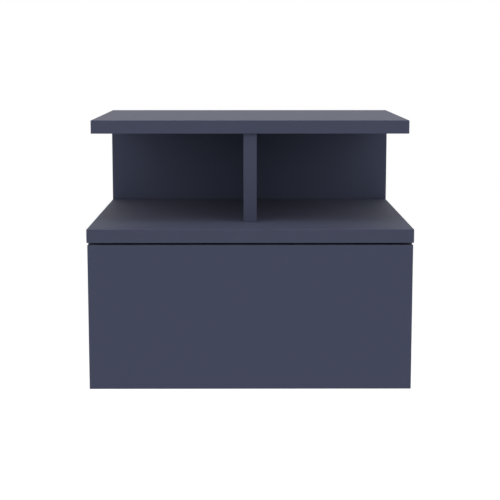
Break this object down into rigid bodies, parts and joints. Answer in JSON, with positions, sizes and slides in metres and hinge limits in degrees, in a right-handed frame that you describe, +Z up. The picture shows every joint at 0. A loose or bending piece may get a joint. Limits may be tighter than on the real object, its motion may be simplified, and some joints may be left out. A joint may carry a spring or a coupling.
{
  "type": "floating nightstand",
  "caption": "Wall-hung nightstand: top board over two open bays with a divider, shelf board over one handle-less drawer on ball-bearing runners; hangs on two keyhole plates.",
  "frame": {"origin": "in the wall plane, midway between the two keyhole hangers, at the height of their screws", "axes": "+X to the right as seen from the front, +Y towards the wall, +Z up"},
  "size_m": [0.43, 0.35, 0.3537],
  "materials": {
    "melamine_board": "matte blue-grey melamine facing",
    "drawer_board": "matte blue-grey foil",
    "hardboard": "painted hardboard",
    "zinc_steel": "bright zinc plating",
    "cam_zinc": "raw zinc die casting",
    "cage_steel": "plain rolled strip",
    "beech": "raw beech",
    "bumper_rubber": "soft rubber"
  },
  "bodies": {
    "cabinet": {"top_board": "melamine_board", "upper_back_panel": "melamine_board", "divider": "melamine_board", "shelf_board": "melamine_board", "left_side_panel": "melamine_board", "right_side_panel": "melamine_board", "bottom_panel": "melamine_board", "lower_back_panel": "melamine_board", "left_hanger_plate": "zinc_steel", "right_hanger_plate": "zinc_steel", "left_cabinet_rail": "zinc_steel", "right_cabinet_rail": "zinc_steel", "left_bumper": "bumper_rubber", "right_bumper": "bumper_rubber", "left_top_board_cam": "cam_zinc", "right_top_board_cam": "cam_zinc", "left_back_to_shelf_cam": "cam_zinc", "right_back_to_shelf_cam": "cam_zinc", "left_front_shelf_cam": "cam_zinc", "left_rear_shelf_cam": "cam_zinc", "right_front_shelf_cam": "cam_zinc", "right_rear_shelf_cam": "cam_zinc", "left_front_bottom_cam": "cam_zinc", "left_rear_bottom_cam": "cam_zinc", "right_front_bottom_cam": "cam_zinc", "right_rear_bottom_cam": "cam_zinc", "left_lower_back_cam": "cam_zinc", "right_lower_back_cam": "cam_zinc", "left_top_board_dowel": "beech", "right_top_board_dowel": "beech", "left_back_to_shelf_dowel": "beech", "right_back_to_shelf_dowel": "beech", "divider_top_front_dowel": "beech", "divider_top_rear_dowel": "beech", "divider_shelf_front_dowel": "beech", "divider_shelf_rear_dowel": "beech", "left_side_to_shelf_dowel": "beech", "right_side_to_shelf_dowel": "beech", "left_bottom_dowel": "beech", "right_bottom_dowel": "beech", "divider_connecting_screw": "zinc_steel"},
    "drawer": {"drawer_front": "melamine_board", "drawer_left_side": "drawer_board", "drawer_right_side": "drawer_board", "drawer_back": "drawer_board", "drawer_bottom": "hardboard", "left_drawer_rail": "zinc_steel", "right_drawer_rail": "zinc_steel", "left_upper_drawer_cam": "cam_zinc", "left_lower_drawer_cam": "cam_zinc", "right_upper_drawer_cam": "cam_zinc", "right_lower_drawer_cam": "cam_zinc"},
    "left_middle": {"left_middle_rail": "zinc_steel"},
    "right_middle": {"right_middle_rail": "zinc_steel"},
    "left_outer_cage": {"left_outer_ball_cage": "cage_steel"},
    "left_inner_cage": {"left_inner_ball_cage": "cage_steel"},
    "right_outer_cage": {"right_outer_ball_cage": "cage_steel"},
    "right_inner_cage": {"right_inner_ball_cage": "cage_steel"}
  },
  "joints": [
    {"name": "drawer_slide", "type": "slide", "parent": "cabinet", "child": "drawer", "axis": [0, -1, 0], "range_m": [0, 0.3]},
    {"name": "left_middle_slide", "type": "slide", "parent": "cabinet", "child": "left_middle", "axis": [0, -1, 0], "range_m": [0, 0.15]},
    {"name": "right_middle_slide", "type": "slide", "parent": "cabinet", "child": "right_middle", "axis": [0, -1, 0], "range_m": [0, 0.15]},
    {"name": "left_outer_cage_slide", "type": "slide", "parent": "cabinet", "child": "left_outer_cage", "axis": [0, -1, 0], "range_m": [0, 0.075]},
    {"name": "left_inner_cage_slide", "type": "slide", "parent": "cabinet", "child": "left_inner_cage", "axis": [0, -1, 0], "range_m": [0, 0.225]},
    {"name": "right_outer_cage_slide", "type": "slide", "parent": "cabinet", "child": "right_outer_cage", "axis": [0, -1, 0], "range_m": [0, 0.075]},
    {"name": "right_inner_cage_slide", "type": "slide", "parent": "cabinet", "child": "right_inner_cage", "axis": [0, -1, 0], "range_m": [0, 0.225]}
  ],
  "couplings": [
    {"joint": "left_middle_slide", "follows": "drawer_slide", "ratio": 0.5},
    {"joint": "right_middle_slide", "follows": "drawer_slide", "ratio": 0.5},
    {"joint": "left_outer_cage_slide", "follows": "drawer_slide", "ratio": 0.25},
    {"joint": "left_inner_cage_slide", "follows": "drawer_slide", "ratio": 0.75},
    {"joint": "right_outer_cage_slide", "follows": "drawer_slide", "ratio": 0.25},
    {"joint": "right_inner_cage_slide", "follows": "drawer_slide", "ratio": 0.75}
  ]
}
